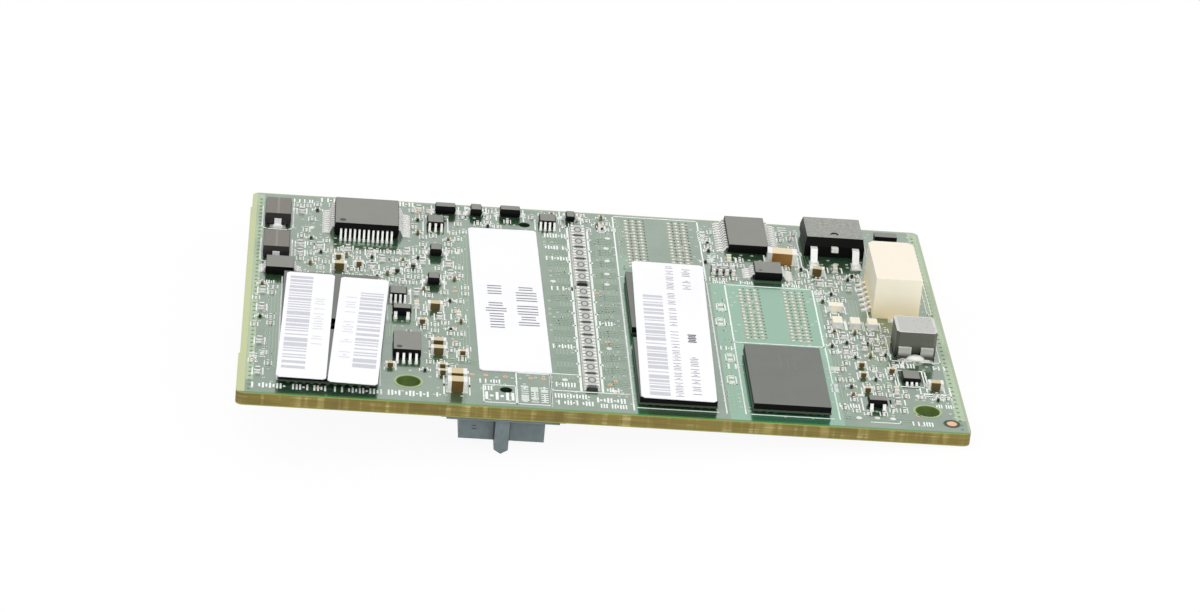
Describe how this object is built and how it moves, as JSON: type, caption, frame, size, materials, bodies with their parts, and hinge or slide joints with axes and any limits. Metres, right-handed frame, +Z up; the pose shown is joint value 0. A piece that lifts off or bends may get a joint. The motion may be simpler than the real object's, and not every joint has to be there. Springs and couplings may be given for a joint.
{
  "type": "raid controller card",
  "caption": "Plug-on raid controller card: a bare board with memory and flash chips, paper labels, power parts and a side cable header, with a mezzanine plug and guide posts underneath.",
  "frame": {"origin": "under the middle of the board, at the level of the guide post tips", "axes": "+X along the board's long side towards the cable header, +Y across the board away from its screw holes, +Z up out of the populated face"},
  "size_m": [0.0744, 0.0498, 0.0102],
  "materials": {
    "board": "green solder mask over glass laminate",
    "plug_grey": "grey moulded plug",
    "gold": "gold-plated contacts",
    "mould_black": "black moulding compound",
    "paper": "white paper",
    "tin": "tinned metal",
    "header_cream": "cream moulded plastic",
    "inductor_grey": "pressed grey powder core",
    "moulded_brown": "brown moulded case",
    "ceramic_tan": "tan ceramic",
    "resistor_black": "black glazed ceramic",
    "bead_cream": "cream ceramic"
  },
  "bodies": {
    "root": {"circuit_board": "board", "plug_housing": "plug_grey", "plug_contacts": "gold", "header_pins": "gold", "memory_chip_front": "mould_black", "memory_chip_middle": "mould_black", "memory_chip_side": "mould_black", "memory_chip_under_middle": "mould_black", "memory_chip_under_back": "mould_black", "flash_chip_front": "mould_black", "flash_chip_rear": "mould_black", "controller_body": "mould_black", "buffer_body": "mould_black", "regulator_body": "mould_black", "switch_body": "mould_black", "monitor_body": "mould_black", "logic_bodies": "mould_black", "transistor_bodies": "mould_black", "diode_bodies": "mould_black", "leadless_chip": "mould_black", "power_body": "mould_black", "serial_label_left": "paper", "serial_label_right": "paper", "memory_label": "paper", "plain_label": "paper", "controller_leads": "tin", "buffer_leads": "tin", "regulator_leads": "tin", "switch_leads": "tin", "monitor_leads": "tin", "logic_lead_rows": "tin", "transistor_lead_sets": "tin", "diode_lead_pairs": "tin", "power_leads": "tin", "power_tab": "tin", "header_tails": "tin", "header_hold_downs": "tin", "inductor_terminals": "tin", "moulded_strips": "tin", "array_terminal_rows": "tin", "large_capacitor_ends": "tin", "medium_capacitors_ends": "tin", "small_capacitors_ends": "tin", "tiny_capacitors_ends": "tin", "resistors_ends": "tin", "beads_ends": "tin", "under_capacitors_ends": "tin", "header_housing": "header_cream", "inductor_core": "inductor_grey", "moulded_capacitors": "moulded_brown", "large_capacitor": "ceramic_tan", "medium_capacitors": "ceramic_tan", "small_capacitors": "ceramic_tan", "tiny_capacitors": "ceramic_tan", "under_capacitors": "ceramic_tan", "resistors": "resistor_black", "array_bodies": "resistor_black", "beads": "bead_cream"}
  },
  "joints": []
}
